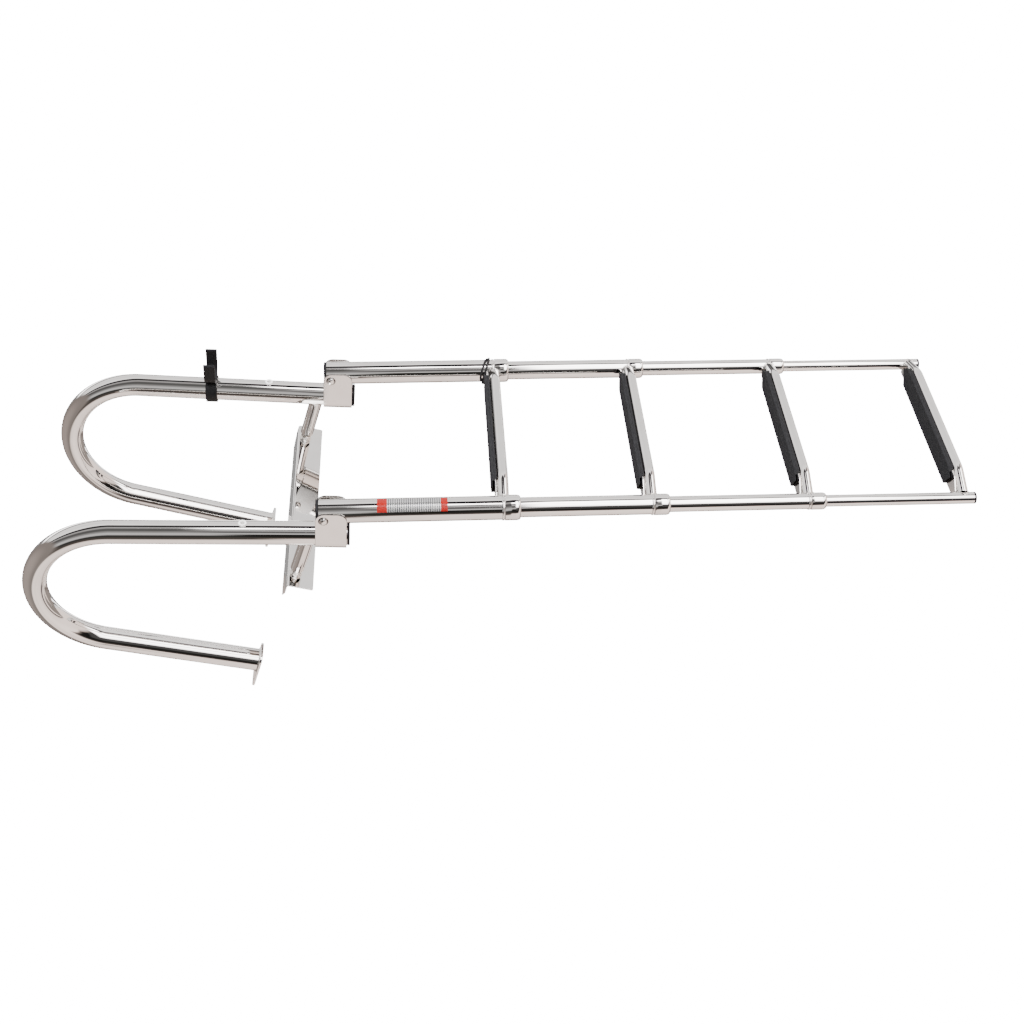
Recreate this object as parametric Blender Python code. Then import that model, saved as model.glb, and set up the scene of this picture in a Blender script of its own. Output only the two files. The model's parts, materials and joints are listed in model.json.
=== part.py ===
"""Telescoping boat boarding ladder with two grab rails, as separate pieces.

Metres, +Z up. X runs across the ladder, -Y is outboard and +Y is inboard. The deck is the plane z = 0,
and the origin is the middle of the deck leaf's underside. Left is -X and right is +X.

Local frames put x across, y outboard and z down along the member, with their origin on the fold axis.
"""
import math

import bmesh
import bpy
from mathutils import Matrix, Vector

# ---------------------------------------------------------------- driving dimensions
TUBE_RADII = (0.01905, 0.015875, 0.0127, 0.009525)  # stile sections 1 to 4
WALL = 0.0015
GAP = 0.0003
RUNNING_GAP = 0.0006
STILE_SPACING = 0.345
LEG_RAKE = math.radians(13.4)
LADDER_RAKE = math.radians(17.0)
LEG_SPLAY = math.radians(1.4)
RAIL_OFFSET = 0.046

TRANSOM_INSET = 0.0145
DECK_LEAF = 0.038
TRANSOM_LEAF = 0.043
BRACKET_LENGTH = 0.396
BRACKET_THICKNESS = 0.002
PIVOT_TO_TRANSOM = 0.1505
PIVOT_BELOW_DECK = 0.022

# Distances below the fold axis, measured along the ladder
STILE_TOP = -0.0075
SECTION_ENDS = (0.3025, 0.535, 0.7815, 1.0215)
RUNG_LEVELS = (0.2765, 0.5075, 0.7545, 1.002)
SECTION_OVERLAP = 0.055
COLLAR_LENGTH = 0.0285
COLLAR_LIP = 0.003
COLLAR_PROUD = 0.0011

RUNG_RADIUS = 0.009525
RUNG_SET_OUT = 0.018
RUNG_BEND_AT = 0.050
RUNG_BEND_RADIUS = 0.040
TREAD_PLATE_THICKNESS = 0.002
TREAD_PLATE_INSET = 0.002
TREAD_BACK = -0.012
TREAD_TOP = 0.0175

RAIL_BEND_RADIUS = 0.1264
RAIL_LEG_TO_BEND = 0.338
RAIL_LEG_LOW_END = 0.036
RAIL_REFERENCE_LEVEL = 0.012
FLANGE_THICKNESS = 0.004

HINGE_WALL = 0.0025
HINGE_INNER_RADIUS = 0.0200
HINGE_TOP = 0.0134
HINGE_LEVELS = (-0.0125, 0.0357)
BOLT_RADIUS = 0.003
BOLT_HOLE_RADIUS = 0.0036

STRUT_RADIUS = 0.0111
STRUT_HEIGHT = -0.011
STRUT_FOOT_LENGTH = 0.013

CLIP_LEVEL = -0.203
CLIP_WIDTH = 0.019
CLIP_WALL = 0.0035
GROMMET_LEVELS = {"left": -0.124, "right": -0.106}

STILE_SIDES = 24
RAIL_SIDES = 20
RUNG_SIDES = 14
SMALL_SIDES = 16

SIDES = {"left": -1, "right": 1}
LAST = len(TUBE_RADII) - 1
HALF_SPACING = STILE_SPACING / 2
TRANSOM_Y = -TRANSOM_INSET
PIVOT_Y = TRANSOM_Y - PIVOT_TO_TRANSOM
PIVOT = Vector((0, PIVOT_Y, -PIVOT_BELOW_DECK))


# ---------------------------------------------------------------- frames, materials and parents
def member_frame(rake):
    """World matrix whose x is across, y outboard and z down a member raked outboard by rake."""
    across = Vector((1, 0, 0))
    down = Vector((0, -math.sin(rake), -math.cos(rake)))
    out = down.cross(across)
    frame = Matrix((across, out, down)).transposed().to_4x4()
    frame.translation = PIVOT
    return frame


LEG_FRAME = member_frame(LEG_RAKE)
LADDER_FRAME = member_frame(LADDER_RAKE)


def make_material(name, colour, roughness, metallic):
    material = bpy.data.materials.new(name)
    material.use_nodes = True
    shader = material.node_tree.nodes["Principled BSDF"]
    shader.inputs["Base Color"].default_value = (*colour, 1)
    shader.inputs["Roughness"].default_value = roughness
    shader.inputs["Metallic"].default_value = metallic
    return material


def steel(name):
    return make_material(name + "_steel", (0.78, 0.77, 0.75), 0.12, 1.0)


def black_plastic(name):
    return make_material(name + "_plastic", (0.03, 0.03, 0.032), 0.5, 0.0)


def white_nylon(name):
    return make_material(name + "_nylon", (0.85, 0.85, 0.83), 0.4, 0.0)


def black_cord(name):
    return make_material(name + "_cord", (0.015, 0.015, 0.016), 0.8, 0.0)


def make_empty(name, matrix, parent=None):
    empty = bpy.data.objects.new(name, None)
    empty.empty_display_size = 0.05
    bpy.context.collection.objects.link(empty)
    if parent:
        empty.parent = parent
    empty.matrix_local = matrix
    return empty


# ---------------------------------------------------------------- mesh tools
def finish_mesh(name, shape, material, parent=None, matrix=None):
    """Turns a bmesh into an object with outward faces and smooth round sides."""
    bmesh.ops.recalc_face_normals(shape, faces=shape.faces)
    mesh = bpy.data.meshes.new(name)
    shape.to_mesh(mesh)
    shape.free()
    mesh.shade_smooth()
    mesh.set_sharp_from_angle(angle=math.radians(35))
    obj = bpy.data.objects.new(name, mesh)
    bpy.context.collection.objects.link(obj)
    if material:
        mesh.materials.append(material)
    if parent:
        obj.parent = parent
    obj.matrix_local = matrix or Matrix.Identity(4)
    return obj


def join_rings(shape, rings, closed_loop):
    """Skins a list of vertex rings. With closed_loop the last ring also joins the first."""
    count = len(rings)
    last = count if closed_loop else count - 1
    for i in range(last):
        a, b = rings[i], rings[(i + 1) % count]
        if len(a) == 1 and len(b) == 1:
            continue
        size = max(len(a), len(b))
        for j in range(size):
            k = (j + 1) % size
            if len(a) == 1:
                shape.faces.new((a[0], b[j], b[k]))
            elif len(b) == 1:
                shape.faces.new((a[j], a[k], b[0]))
            else:
                shape.faces.new((a[j], a[k], b[k], b[j]))


def turned(profile, sides, closed=True):
    """A bmesh turned about local z from (radius, height) points. A zero radius makes a point."""
    shape = bmesh.new()
    rings = []
    for radius, height in profile:
        if radius == 0:
            rings.append([shape.verts.new((0, 0, height))])
            continue
        ring = []
        for j in range(sides):
            angle = 2 * math.pi * j / sides
            ring.append(shape.verts.new((radius * math.cos(angle), radius * math.sin(angle), height)))
        rings.append(ring)
    join_rings(shape, rings, closed)
    return shape


def pipe(path, tangents, side_axis, radius, wall, sides, end_plane=None):
    """An open-ended tube along a path in one plane, whose normal is side_axis.

    end_plane is (point, normal): the last ring is slid along the tube onto that plane.
    """
    shape = bmesh.new()
    skins = []
    for skin_radius in (radius, radius - wall):
        rings = []
        for step, (centre, tangent) in enumerate(zip(path, tangents)):
            other = tangent.cross(side_axis).normalized()
            ring = []
            for j in range(sides):
                angle = 2 * math.pi * j / sides
                point = centre + skin_radius * (side_axis * math.cos(angle) + other * math.sin(angle))
                if end_plane and step == len(path) - 1:
                    origin, normal = end_plane
                    point += tangent * ((origin - point).dot(normal) / tangent.dot(normal))
                ring.append(shape.verts.new(point))
            rings.append(ring)
        skins.append(rings)
    join_rings(shape, skins[0] + skins[1][::-1], True)
    return shape


def prism(outline, depth):
    """A bmesh of an (x, y) outline extruded from z = 0 to z = depth."""
    shape = bmesh.new()
    low = [shape.verts.new((x, y, 0)) for x, y in outline]
    high = [shape.verts.new((x, y, depth)) for x, y in outline]
    shape.faces.new(low[::-1])
    shape.faces.new(high)
    for i in range(len(outline)):
        j = (i + 1) % len(outline)
        shape.faces.new((low[i], low[j], high[j], high[i]))
    return shape


def arc(centre, radius, start, end, steps):
    """Points along an arc in degrees, both ends included."""
    points = []
    for i in range(steps + 1):
        angle = math.radians(start + (end - start) * i / steps)
        points.append((centre[0] + radius * math.cos(angle), centre[1] + radius * math.sin(angle)))
    return points


def rounded_rectangle(low, high, radius, steps=4):
    corners = (
        ((high[0] - radius, high[1] - radius), 0),
        ((low[0] + radius, high[1] - radius), 90),
        ((low[0] + radius, low[1] + radius), 180),
        ((high[0] - radius, low[1] + radius), 270),
    )
    return [point for centre, start in corners for point in arc(centre, radius, start, start + 90, steps)]


def rod(radius, length, sides):
    """A solid round bar along local z, from 0 to length."""
    return turned([(0, 0), (radius, 0), (radius, length), (0, length)], sides, closed=False)


def dome(radius, base, height, steps=3):
    """Profile points of a rounded end, from its middle out to its rim at the base."""
    points = []
    for i in range(steps + 1):
        angle = math.pi / 2 * i / steps
        points.append((radius * math.sin(angle), base + height * math.cos(angle)))
    return points


def carve(obj, tool_shape, matrix, operation="DIFFERENCE"):
    """Applies an exact Boolean with a throwaway tool shape placed in the object's parent space."""
    tool = finish_mesh(obj.name + "_tool", tool_shape, None, obj.parent, matrix)
    step = obj.modifiers.new(operation.lower(), "BOOLEAN")
    step.operation = operation
    step.solver = "EXACT"
    step.object = tool
    bpy.context.view_layer.update()
    evaluated = obj.evaluated_get(bpy.context.evaluated_depsgraph_get())
    result = bpy.data.meshes.new_from_object(evaluated)
    obj.modifiers.clear()
    obj.data = result
    bpy.data.objects.remove(tool)
    result.shade_smooth()
    result.set_sharp_from_angle(angle=math.radians(35))


def along(start, direction):
    """Matrix that puts local z along direction, with its origin at start."""
    return Matrix.Translation(start) @ Vector(direction).to_track_quat("Z", "Y").to_matrix().to_4x4()


ACROSS = Matrix.Rotation(math.radians(90), 4, "Y")


# ---------------------------------------------------------------- grab rails and their fittings
def rail_axes(side):
    """Directions of one grab rail in the leg frame: up the outer leg, and from it towards the inner leg."""
    up = Vector((side * math.sin(LEG_SPLAY), 0, -math.cos(LEG_SPLAY)))
    inward = Vector((-side * math.sin(LEG_SPLAY), -math.cos(LEG_SPLAY), 0))
    inward = (inward - up * inward.dot(up)).normalized()
    return up, inward


def rail_reference(side):
    """The point of the outer leg's axis beside the fold axis, in the leg frame."""
    return Vector((side * HALF_SPACING, -RAIL_OFFSET, RAIL_REFERENCE_LEVEL))


def leg_point(side, level):
    """The point of the outer leg's axis at a level in the leg frame."""
    up, _ = rail_axes(side)
    reference = rail_reference(side)
    return reference + up * ((level - reference.z) / up.z)


def rail_path(side):
    """Centre line of one grab rail in world space, from the hinge end to the deck."""
    up, inward = rail_axes(side)
    start = leg_point(side, RAIL_LEG_LOW_END)
    bend_start = rail_reference(side) + up * RAIL_LEG_TO_BEND
    centre = bend_start + inward * RAIL_BEND_RADIUS
    turn = math.pi - LEG_RAKE
    steps = 14
    points = [start]
    tangents = [up]
    for i in range(steps + 1):
        angle = turn * i / steps
        points.append(centre + RAIL_BEND_RADIUS * (up * math.sin(angle) - inward * math.cos(angle)))
        tangents.append(up * math.cos(angle) + inward * math.sin(angle))
    points = [LEG_FRAME @ point for point in points]
    tangents = [LEG_FRAME.to_3x3() @ tangent for tangent in tangents]
    drop = (points[-1].z - FLANGE_THICKNESS - GAP) / -tangents[-1].z
    points.append(points[-1] + tangents[-1] * drop)
    tangents.append(tangents[-1])
    side_axis = LEG_FRAME.to_3x3() @ up.cross(inward)
    return points, tangents, side_axis.normalized()


def make_handrail(label, side):
    points, tangents, side_axis = rail_path(side)
    deck_top = (Vector((0, 0, FLANGE_THICKNESS + GAP)), Vector((0, 0, 1)))
    shape = pipe(points, tangents, side_axis, TUBE_RADII[0], WALL, RAIL_SIDES, deck_top)
    name = "handrail_" + label
    finish_mesh(name, shape, steel(name))
    return points[-1]


def make_deck_flange(label, foot):
    inboard, outboard, half_width, corner = 0.049, 0.026, 0.0225, 0.012
    hole_radius, hole_inboard, hole_across = 0.0027, 0.0375, 0.0125
    name = "deck_flange_" + label
    outline = rounded_rectangle((-half_width, -outboard), (half_width, inboard), corner)
    place = Matrix.Translation((foot.x, foot.y, 0))
    flange = finish_mesh(name, prism(outline, FLANGE_THICKNESS), steel(name), None, place)
    for x in (-hole_across, hole_across):
        hole = rod(hole_radius, 3 * FLANGE_THICKNESS, SMALL_SIDES)
        carve(flange, hole, place @ Matrix.Translation((x, hole_inboard, -FLANGE_THICKNESS)))


def end_cap_shape(tube_radius, rim, spigot):
    """A plug whose rim covers a tube end at z = 0, and whose spigot runs up the bore to -z."""
    chamfer = 0.0012
    bore = tube_radius - WALL - GAP
    profile = [
        (0, rim),
        (tube_radius - chamfer, rim),
        (tube_radius, rim - chamfer),
        (tube_radius, GAP),
        (bore, GAP),
        (bore, -spigot),
        (0, -spigot),
    ]
    return turned(profile, STILE_SIDES, closed=False)


def make_handrail_cap(label, side, root):
    up, _ = rail_axes(side)
    name = "handrail_end_cap_" + label
    place = along(leg_point(side, RAIL_LEG_LOW_END), -up)
    finish_mesh(name, end_cap_shape(TUBE_RADII[0], 0.0045, 0.012), black_plastic(name), root, place)


def make_hinge_bracket(label, side, root):
    """A plate bent to a U round the rail's end, whose two cheeks carry the fold bolt."""
    name = "hinge_bracket_" + label
    low, high = HINGE_LEVELS
    outer = HINGE_INNER_RADIUS + HINGE_WALL
    centre = (0, -RAIL_OFFSET)
    outline = [(-HINGE_INNER_RADIUS, HINGE_TOP), (-outer, HINGE_TOP)]
    outline += arc(centre, outer, 180, 360, 14)
    outline += [(outer, HINGE_TOP), (HINGE_INNER_RADIUS, HINGE_TOP)]
    outline += arc(centre, HINGE_INNER_RADIUS, 360, 180, 14)
    place = Matrix.Translation((side * HALF_SPACING, 0, low))
    bracket = finish_mesh(name, prism(outline, high - low), steel(name), root, place)
    corner, reach = 0.015, 0.1
    cheek = arc((low + corner, HINGE_TOP - corner), corner, 180, 90, 6)
    cheek += arc((high - corner, HINGE_TOP - corner), corner, 90, 0, 6)
    cheek += [(high + GAP, -reach), (low - GAP, -reach)]
    lay_along_x = Matrix(((0, 0, 1, 0), (0, 1, 0, 0), (1, 0, 0, 0), (0, 0, 0, 1)))
    start = Matrix.Translation((side * HALF_SPACING - reach / 2, 0, 0))
    carve(bracket, prism(cheek[::-1], reach), start @ lay_along_x, "INTERSECT")
    carve(bracket, rod(BOLT_HOLE_RADIUS, reach, SMALL_SIDES), start @ ACROSS)


def make_hinge_bolt(label, side, root):
    """A bolt through both cheeks with a domed head, and its domed nut."""
    head_radius, head_height = 0.0065, 0.0038
    nut_radius, nut_shoulder, nut_dome = 0.0058, 0.0032, 0.0038
    thread_end = 0.0045
    face = HINGE_INNER_RADIUS + HINGE_WALL + GAP
    place = Matrix.Translation((side * HALF_SPACING, 0, 0)) @ ACROSS
    name = "hinge_bolt_" + label
    profile = dome(head_radius, -face, -head_height)
    profile += [(BOLT_RADIUS, -face), (BOLT_RADIUS, face + thread_end), (0, face + thread_end)]
    finish_mesh(name, turned(profile, SMALL_SIDES, False), steel(name), root, place)
    name = "hinge_nut_" + label
    bore, bore_end = BOLT_RADIUS + GAP, thread_end + GAP
    profile = dome(nut_radius, nut_shoulder, nut_dome)
    profile += [(nut_radius, 0), (bore, 0), (bore, bore_end), (0, bore_end)]
    place = place @ Matrix.Translation((0, 0, face))
    finish_mesh(name, turned(profile, SMALL_SIDES, False), steel(name), root, place)


def make_rest_grommet(label, side, root):
    """A nylon ring seated in the outer leg's outboard face, where the folded stile comes to rest."""
    outer, hole, height, seat, chamfer = 0.0065, 0.0040, 0.0025, 0.0018, 0.001
    name = "rest_grommet_" + label
    profile = [
        (hole, -seat),
        (outer, -seat),
        (outer, height - chamfer),
        (outer - chamfer, height),
        (hole, height),
    ]
    centre = leg_point(side, GROMMET_LEVELS[label])
    place = along(centre + Vector((0, TUBE_RADII[0], 0)), (0, 1, 0))
    ring = finish_mesh(name, turned(profile, SMALL_SIDES), white_nylon(name), root, place)
    up, _ = rail_axes(side)
    length = 0.06
    tube = rod(TUBE_RADII[0] + GAP, length, RAIL_SIDES * 2)
    carve(ring, tube, along(centre - up * (length / 2), up))


def make_rail_clip(root):
    """A double clip: a ring round the right leg and an open jaw that takes the folded right stile."""
    name = "rail_clip"
    side = SIDES["right"]
    ring_centre = leg_point(side, CLIP_LEVEL)
    jaw = Vector((side * HALF_SPACING - ring_centre.x, RAIL_OFFSET))
    bore = TUBE_RADII[0] + RUNNING_GAP
    outer = bore + CLIP_WALL
    finger_top, flare, tip, bevel = 0.026, 0.002, 0.001, 0.0035
    neck_low, neck_high = 62, -52
    finger = [(outer + flare, finger_top - bevel), (outer - tip, finger_top), (bore, finger_top - bevel)]
    outline = arc((0, 0), outer, neck_low, -180 - neck_low, 26)
    outline += arc(jaw, outer, 180 - neck_high, 180, 5)
    outline += [(jaw.x - x, jaw.y + y) for x, y in finger]
    outline += arc(jaw, bore, 180, 360, 18)
    outline += [(jaw.x + x, jaw.y + y) for x, y in finger[::-1]]
    outline += arc(jaw, outer, 0, neck_high, 5)
    place = Matrix.Translation(ring_centre - Vector((0, 0, CLIP_WIDTH / 2)))
    clip = finish_mesh(name, prism(outline[::-1], CLIP_WIDTH), black_plastic(name), root, place)
    length = 0.1
    carve(clip, rod(bore, length, RAIL_SIDES), Matrix.Translation(ring_centre - Vector((0, 0, length / 2))))


def make_strut(label, side):
    """A level tube from the outer leg to the transom leaf, with a screwed foot."""
    name = "strut_" + label
    leg_direction = LEG_FRAME.to_3x3() @ rail_axes(side)[0]
    reference = LEG_FRAME @ rail_reference(side)
    top = reference + leg_direction * ((STRUT_HEIGHT - reference.z) / leg_direction.z)
    toe_in = 0.007
    foot = Vector((top.x - side * toe_in, TRANSOM_Y - BRACKET_THICKNESS - GAP, STRUT_HEIGHT))
    run = (foot - top).normalized()
    tube_end = foot - run * STRUT_FOOT_LENGTH
    shape = pipe([top, tube_end], [run, run], Vector((0, 0, 1)), STRUT_RADIUS, WALL, RUNG_SIDES)
    strut = finish_mesh(name, shape, steel(name))
    length = 0.12
    tool = rod(TUBE_RADII[0] + GAP, length, STILE_SIDES)
    carve(strut, tool, along(top - leg_direction * (length / 2), leg_direction))

    name = "strut_foot_" + label
    washer, washer_top = 0.0105, 0.0018
    nut, nut_top = 0.0085, 0.0085
    stud, stud_end = 0.0050, STRUT_FOOT_LENGTH + 0.012
    profile = [
        (0, 0),
        (washer, 0),
        (washer, washer_top),
        (nut, washer_top),
        (nut, nut_top),
        (stud, nut_top),
        (stud, stud_end),
        (0, stud_end),
    ]
    finish_mesh(name, turned(profile, SMALL_SIDES, False), steel(name), None, along(foot, (0, -1, 0)))


def make_transom_bracket():
    """An angle of bent plate: one leaf on the deck and one down the transom."""
    name = "transom_bracket"
    thickness = BRACKET_THICKNESS
    bend = 0.004
    low, inboard = thickness - TRANSOM_LEAF, TRANSOM_Y + DECK_LEAF
    corner = (TRANSOM_Y - thickness + bend, thickness - bend)
    outline = [(TRANSOM_Y, low), (TRANSOM_Y, 0), (inboard, 0), (inboard, thickness)]
    outline += arc(corner, bend, 90, 180, 4)
    outline += [(TRANSOM_Y - thickness, low)]
    half = BRACKET_LENGTH / 2
    stand_up = Matrix(((0, 0, 1, -half), (1, 0, 0, 0), (0, 1, 0, 0), (0, 0, 0, 1)))
    bracket = finish_mesh(name, prism(outline[::-1], BRACKET_LENGTH), steel(name), None, stand_up)

    depth, reach = 0.06, 0.02
    chamfer_across, chamfer_deep = 0.016, 0.022
    radius = 0.003
    outside = half + reach
    face_deck = Matrix.Translation((0, 0, -depth / 2))
    face_transom = Matrix(((1, 0, 0, 0), (0, 0, 1, TRANSOM_Y - depth / 2), (0, 1, 0, 0), (0, 0, 0, 1)))
    for side in SIDES.values():
        deck_corner = [(half - chamfer_across, inboard), (half, inboard - chamfer_deep)]
        deck_corner += [(outside, inboard - chamfer_deep), (outside, inboard + reach)]
        deck_corner += [(half - chamfer_across, inboard + reach)]
        transom_corner = arc((half - radius, low + radius), radius, 270, 360, 5)
        transom_corner += [(outside, low + radius), (outside, low - reach), (half - radius, low - reach)]
        for corner_outline, face in ((deck_corner, face_deck), (transom_corner, face_transom)):
            mirrored = [(side * x, y) for x, y in corner_outline]
            carve(bracket, prism(mirrored[::side], depth), face)

    hole_radius = 0.0028
    deck_hole_y, deck_hole_spacing = 0.002, 0.100
    for step in range(4):
        x = (step - 1.5) * deck_hole_spacing
        carve(bracket, rod(hole_radius, depth, SMALL_SIDES), Matrix.Translation((x, deck_hole_y, -depth / 2)))


# ---------------------------------------------------------------- ladder sections
def section_top(index):
    return STILE_TOP if index == 0 else SECTION_ENDS[index - 1] - SECTION_OVERLAP


def tube_end(index):
    return SECTION_ENDS[index] - COLLAR_LIP - GAP


def stile_place(side, level):
    return Matrix.Translation((side * HALF_SPACING, 0, level))


def make_stile(index, label, side, parent):
    name = f"stile_{index + 1}_{label}"
    radius = TUBE_RADII[index]
    top = section_top(index)
    length = tube_end(index) - top
    profile = [(radius - WALL, 0), (radius, 0), (radius, length), (radius - WALL, length)]
    place = stile_place(side, top)
    stile = finish_mesh(name, turned(profile, STILE_SIDES), steel(name), parent, place)
    if index == 0:
        reach = 0.08
        hole = rod(BOLT_HOLE_RADIUS, reach, SMALL_SIDES)
        carve(stile, hole, Matrix.Translation((side * HALF_SPACING - reach / 2, 0, 0)) @ ACROSS)


def make_collar(index, label, side, parent):
    """A turned sleeve over a stile's lower end, whose lip closes on the next section."""
    name = f"collar_{index + 1}_{label}"
    bore = TUBE_RADII[index] + GAP
    outer = TUBE_RADII[index] + COLLAR_PROUD
    next_bore = TUBE_RADII[index + 1] + RUNNING_GAP
    bevel = 0.0024
    profile = [
        (bore, 0),
        (outer, 0),
        (outer, COLLAR_LENGTH - bevel),
        (outer - bevel, COLLAR_LENGTH),
        (next_bore, COLLAR_LENGTH),
        (next_bore, COLLAR_LENGTH - COLLAR_LIP),
        (bore, COLLAR_LENGTH - COLLAR_LIP),
    ]
    place = stile_place(side, SECTION_ENDS[index] - COLLAR_LENGTH)
    finish_mesh(name, turned(profile, STILE_SIDES), steel(name), parent, place)


def make_guide_bush(index, label, side, parent):
    """A nylon sleeve round a section's upper end, which slides in the bore above it."""
    name = f"guide_bush_{index + 1}_{label}"
    inner = TUBE_RADII[index] + GAP
    outer = TUBE_RADII[index - 1] - WALL - RUNNING_GAP
    length, set_down = 0.018, 0.002
    profile = [(inner, 0), (outer, 0), (outer, length), (inner, length)]
    place = stile_place(side, section_top(index) + set_down)
    finish_mesh(name, turned(profile, STILE_SIDES), white_nylon(name), parent, place)


def stile_outline_tool(index):
    """A solid that fills one stile and its collar with clearance, from the ladder's head down."""
    radius = TUBE_RADII[index] + GAP
    end = SECTION_ENDS[index] + COLLAR_LENGTH
    if index == LAST:
        return turned([(0, 0), (radius, 0), (radius, end), (0, end)], STILE_SIDES, closed=False)
    collar_top = SECTION_ENDS[index] - COLLAR_LENGTH - GAP
    collar = TUBE_RADII[index] + COLLAR_PROUD + GAP
    profile = [(0, 0), (radius, 0), (radius, collar_top), (collar, collar_top), (collar, end), (0, end)]
    return turned(profile, STILE_SIDES, closed=False)


def rung_path():
    """Half of a rung's centre line as (x, y) points with tangents, from the middle to the right stile."""
    slope = math.atan2(RUNG_SET_OUT, RUNG_BEND_AT)
    bend_x = HALF_SPACING - RUNG_BEND_AT
    trim = RUNG_BEND_RADIUS * math.tan(slope / 2)
    centre = (bend_x - trim, RUNG_SET_OUT - RUNG_BEND_RADIUS)
    steps = 4
    points = arc(centre, RUNG_BEND_RADIUS, 90, 90 - math.degrees(slope), steps)
    tangents = []
    for i in range(steps + 1):
        angle = slope * i / steps
        tangents.append((math.cos(angle), -math.sin(angle)))
    reach = 0.92
    points.append((bend_x + RUNG_BEND_AT * reach, RUNG_SET_OUT * (1 - reach)))
    tangents.append(tangents[-1])
    return points, tangents


def make_rung(index, parent):
    name = f"rung_{index + 1}"
    half_points, half_tangents = rung_path()
    points = [Vector((-x, y, 0)) for x, y in half_points[::-1]]
    points += [Vector((x, y, 0)) for x, y in half_points]
    tangents = [Vector((x, -y, 0)) for x, y in half_tangents[::-1]]
    tangents += [Vector((x, y, 0)) for x, y in half_tangents]
    shape = pipe(points, tangents, Vector((0, 0, 1)), RUNG_RADIUS, WALL, RUNG_SIDES)
    place = Matrix.Translation((0, 0, RUNG_LEVELS[index]))
    rung = finish_mesh(name, shape, steel(name), parent, place)
    for side in SIDES.values():
        carve(rung, stile_outline_tool(index), stile_place(side, 0))


def mirrored_outline(right):
    """An outline from its right half, which is listed from the back to the front."""
    return right + [(-x, y) for x, y in right[::-1]]


def make_tread_plate(index, parent):
    """A flat strip along the top of the rung, which carries the plastic tread."""
    name = f"tread_plate_{index + 1}"
    half = HALF_SPACING - TUBE_RADII[index] - GAP
    back, shoulder, front = TREAD_BACK + TREAD_PLATE_INSET, 0.006, RUNG_SET_OUT + 0.004
    notch = 0.018
    outline = mirrored_outline([(half, back), (half, shoulder), (half - notch, front)])
    place = Matrix.Translation((0, 0, RUNG_LEVELS[index] - RUNG_RADIUS - GAP - TREAD_PLATE_THICKNESS))
    finish_mesh(name, prism(outline, TREAD_PLATE_THICKNESS), steel(name), parent, place)


def make_tread(index, parent):
    """A plastic step with angled ends and a skirt down the back of the rung."""
    name = f"tread_{index + 1}"
    front = RUNG_SET_OUT + RUNG_RADIUS - 0.0005
    under = RUNG_RADIUS + 2 * GAP + TREAD_PLATE_THICKNESS
    skirt_depth, skirt_wall = 0.004, 0.0028
    wide, narrow, shoulder = 0.142, 0.124, 0.016
    level = RUNG_LEVELS[index]
    outline = mirrored_outline([(narrow, TREAD_BACK), (wide, shoulder), (narrow, front)])
    place = Matrix.Translation((0, 0, level - TREAD_TOP))
    height = TREAD_TOP + skirt_depth
    tread = finish_mesh(name, prism(outline, height), black_plastic(name), parent, place)
    wide_reach, deep_reach = STILE_SPACING / 2, 0.05
    rung_space = (TREAD_BACK + skirt_wall, deep_reach)
    plate_space = (TREAD_BACK + TREAD_PLATE_INSET - GAP, TREAD_PLATE_THICKNESS + 2 * GAP)
    for back, depth in (rung_space, plate_space):
        space = mirrored_outline([(wide_reach, back), (wide_reach, deep_reach)])
        carve(tread, prism(space, depth), Matrix.Translation((0, 0, level - under)))


def make_stile_top_cap(label, side, parent):
    name = "stile_top_cap_" + label
    place = along(Vector((side * HALF_SPACING, 0, STILE_TOP)), (0, 0, -1))
    finish_mesh(name, end_cap_shape(TUBE_RADII[0], 0.0045, 0.003), black_plastic(name), parent, place)


def make_foot_cap(label, side, parent):
    name = "foot_cap_" + label
    place = stile_place(side, tube_end(LAST))
    finish_mesh(name, end_cap_shape(TUBE_RADII[3], 0.0032, 0.012), black_plastic(name), parent, place)


def make_lanyard_loop(parent):
    """A loop of thin cord tied round the right stile just above the first rung."""
    name = "lanyard_loop"
    cord, cord_sides, slack = 0.0017, 6, 0.0006
    above_rung, tilt, low_side = 0.0125, math.radians(16), math.radians(47)
    loop = (TUBE_RADII[0] + cord + slack) / math.cos(tilt)
    profile = arc((loop, 0), cord, 0, 360 - 360 / cord_sides, cord_sides - 1)
    centre = Vector((SIDES["right"] * HALF_SPACING, 0, RUNG_LEVELS[0] - above_rung))
    tilt_axis = Vector((math.sin(low_side), -math.cos(low_side), 0))
    place = Matrix.Translation(centre) @ Matrix.Rotation(tilt, 4, tilt_axis)
    ring = finish_mesh(name, turned(profile, RAIL_SIDES), black_cord(name), parent, place)
    knot_radius, knot_half, knot_sides = 0.0032, 0.0012, 8
    knot_profile = [(0, -knot_radius), (knot_radius, -knot_half), (knot_radius, knot_half), (0, knot_radius)]
    knot = turned(knot_profile, knot_sides, closed=False)
    knot_angle = math.radians(170)
    reach = loop + cord * 1.5
    knot_at = Vector((reach * math.cos(knot_angle), reach * math.sin(knot_angle), 0))
    carve(ring, knot, place @ Matrix.Translation(knot_at), "UNION")


def make_section(index, parent):
    for label, side in SIDES.items():
        make_stile(index, label, side, parent)
        if index < LAST:
            make_collar(index, label, side, parent)
        if index > 0:
            make_guide_bush(index, label, side, parent)
    make_rung(index, parent)
    make_tread_plate(index, parent)
    make_tread(index, parent)


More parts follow.
